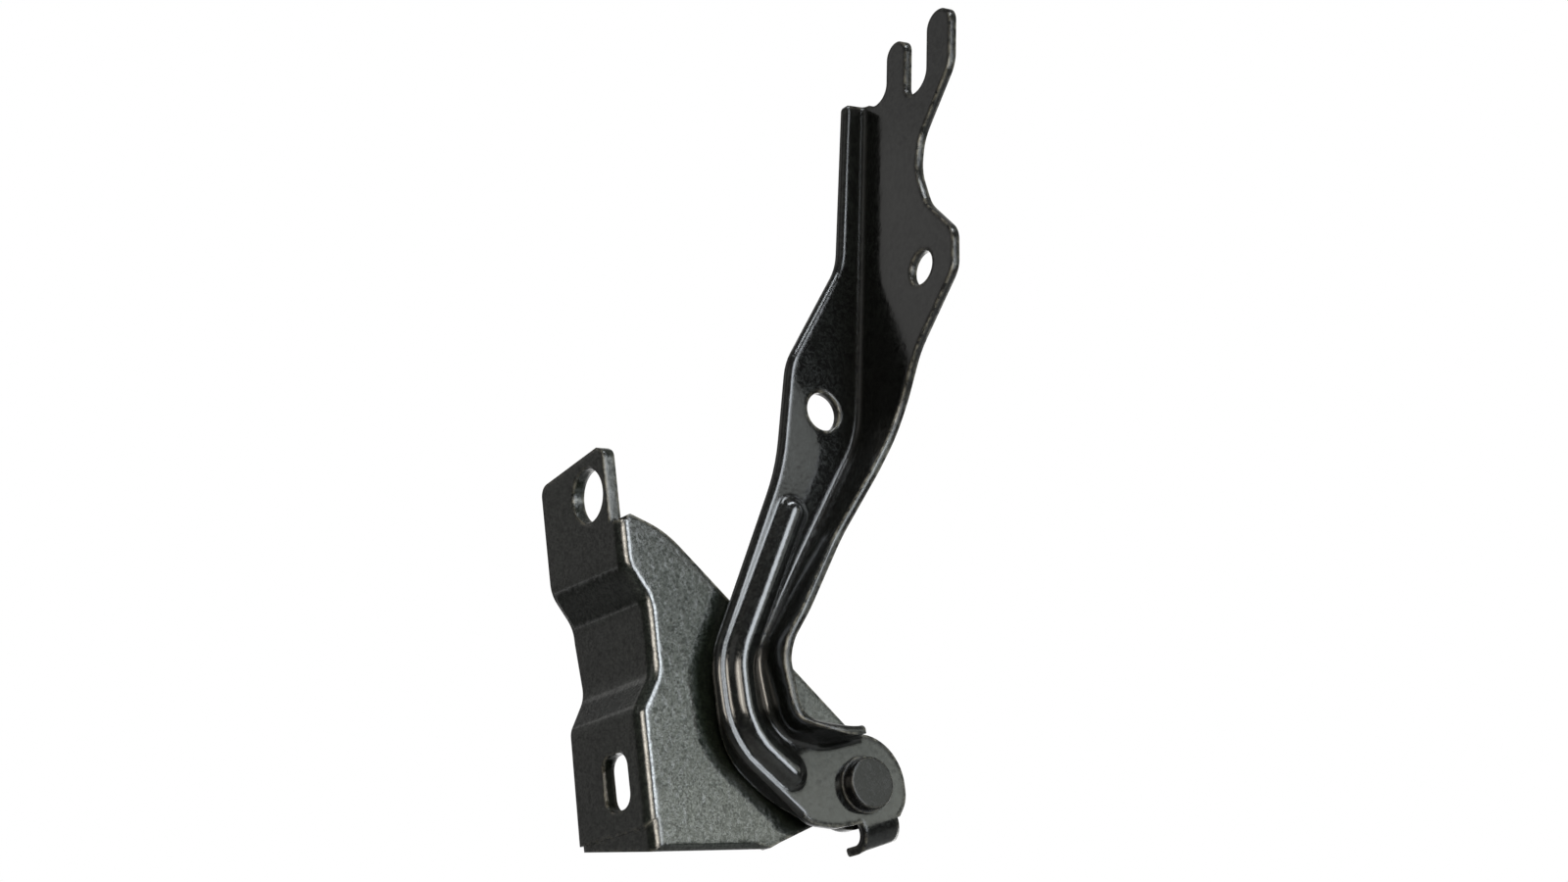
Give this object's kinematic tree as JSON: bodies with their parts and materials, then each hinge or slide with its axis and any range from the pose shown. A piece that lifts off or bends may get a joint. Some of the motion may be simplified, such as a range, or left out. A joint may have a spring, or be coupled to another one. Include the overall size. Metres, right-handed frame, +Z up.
{
  "type": "bonnet hinge",
  "caption": "Pressed steel bonnet hinge: joggled body bracket with fan plate, and a gooseneck arm with bolt flange and locating fork that swings up on a headed rivet.",
  "frame": {"origin": "centre of the bracket's round upper bolt hole, on the mounting face that goes against the body", "axes": "+Z up the mounting face, +X from the mounting face towards the rivet, +Y along the rivet from its head to its tail"},
  "size_m": [0.0919, 0.0777, 0.2131],
  "materials": {
    "bracket_black": "semi-gloss black dip coat over pressed steel",
    "arm_black": "semi-gloss black dip coat over pressed steel",
    "rivet_black": "satin black dip coat over steel",
    "washer_black": "satin black dip coat over steel",
    "bush_bronze": "plain sintered bronze"
  },
  "bodies": {
    "bracket": {"body_bracket": "bracket_black", "pivot_rivet": "rivet_black", "head_washer": "washer_black", "thrust_washer": "washer_black"},
    "arm": {"hinge_arm": "arm_black", "pivot_bush": "bush_bronze"}
  },
  "joints": [
    {"name": "bonnet_pivot", "type": "hinge", "parent": "bracket", "child": "arm", "pos_m": [0.06, -0.0185, -0.0755], "axis": [0, 1, 0], "range_deg": [0, 46]}
  ]
}
